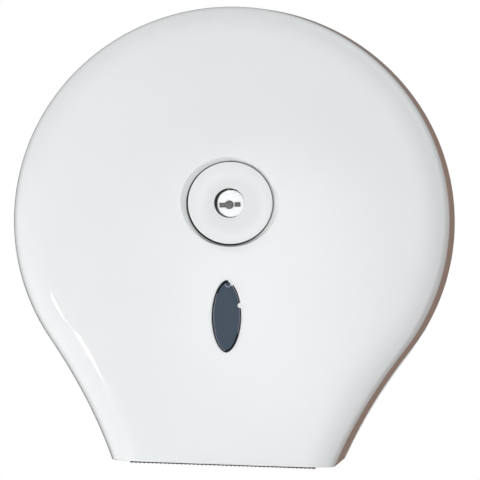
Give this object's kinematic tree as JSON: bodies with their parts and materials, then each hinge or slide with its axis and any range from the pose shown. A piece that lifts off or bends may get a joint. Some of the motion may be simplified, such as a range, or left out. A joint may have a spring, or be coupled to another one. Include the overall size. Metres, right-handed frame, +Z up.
{
  "type": "jumbo roll toilet paper dispenser",
  "caption": "Wall dispenser for one jumbo roll of toilet paper: round white locking cover on a lower hinge, open neck with a tear edge, level window, and a turning hub on a spindle.",
  "frame": {"origin": "on the spindle's and lock's axis, in the plane of the wall that the back plate lies on", "axes": "+Y into the wall, along the spindle; +Z up; +X to the right of someone facing the dispenser, so the cover faces -Y"},
  "size_m": [0.266, 0.1219, 0.2727],
  "materials": {
    "cover_white": "polished moulded ABS",
    "inner_white": "fine moulded texture",
    "lock_white": "satin moulded acetal",
    "lock_black": "black moulded nylon",
    "natural_nylon": "natural nylon",
    "smoked_lens": "polished smoked polycarbonate",
    "steel": "bright zinc plate"
  },
  "bodies": {
    "root": {"back_plate": "inner_white", "axle_post": "inner_white", "axle_screw_1": "steel", "axle_screw_2": "steel", "axle_screw_3": "steel", "axle_screw_4": "steel", "hub_washer": "natural_nylon", "hub_retaining_ring": "steel", "strike_plate": "steel", "strike_screw_1": "steel", "strike_screw_2": "steel", "hinge_pin_left": "steel", "hinge_pin_right": "steel"},
    "hub": {"roll_hub": "inner_white"},
    "cover": {"cover_shell": "cover_white", "window_lens": "smoked_lens", "window_retainer": "inner_white", "window_screw_1": "steel", "window_screw_2": "steel", "lock_disc": "cover_white", "disc_screw_1": "steel", "disc_screw_2": "steel", "disc_screw_3": "steel", "lock_housing": "lock_black", "lock_nut": "natural_nylon", "tear_bar": "inner_white", "tear_bar_screw_1": "steel", "tear_bar_screw_2": "steel", "tear_bar_screw_3": "steel"},
    "lock": {"lock_plug": "lock_white", "lock_cam": "steel", "cam_washer": "steel", "cam_screw": "steel"}
  },
  "joints": [
    {"name": "cover_hinge", "type": "hinge", "parent": "root", "child": "cover", "pos_m": [0, -0.012, -0.1435], "axis": [1, 0, 0], "range_deg": [0, 90]},
    {"name": "lock_turn", "type": "hinge", "parent": "cover", "child": "lock", "pos_m": [0, -0.11, 0], "axis": [0, -1, 0], "range_deg": [0, 90]},
    {"name": "hub_spin", "type": "hinge", "parent": "root", "child": "hub", "pos_m": [0, -0.055, 0], "axis": [0, -1, 0], "continuous": true}
  ]
}
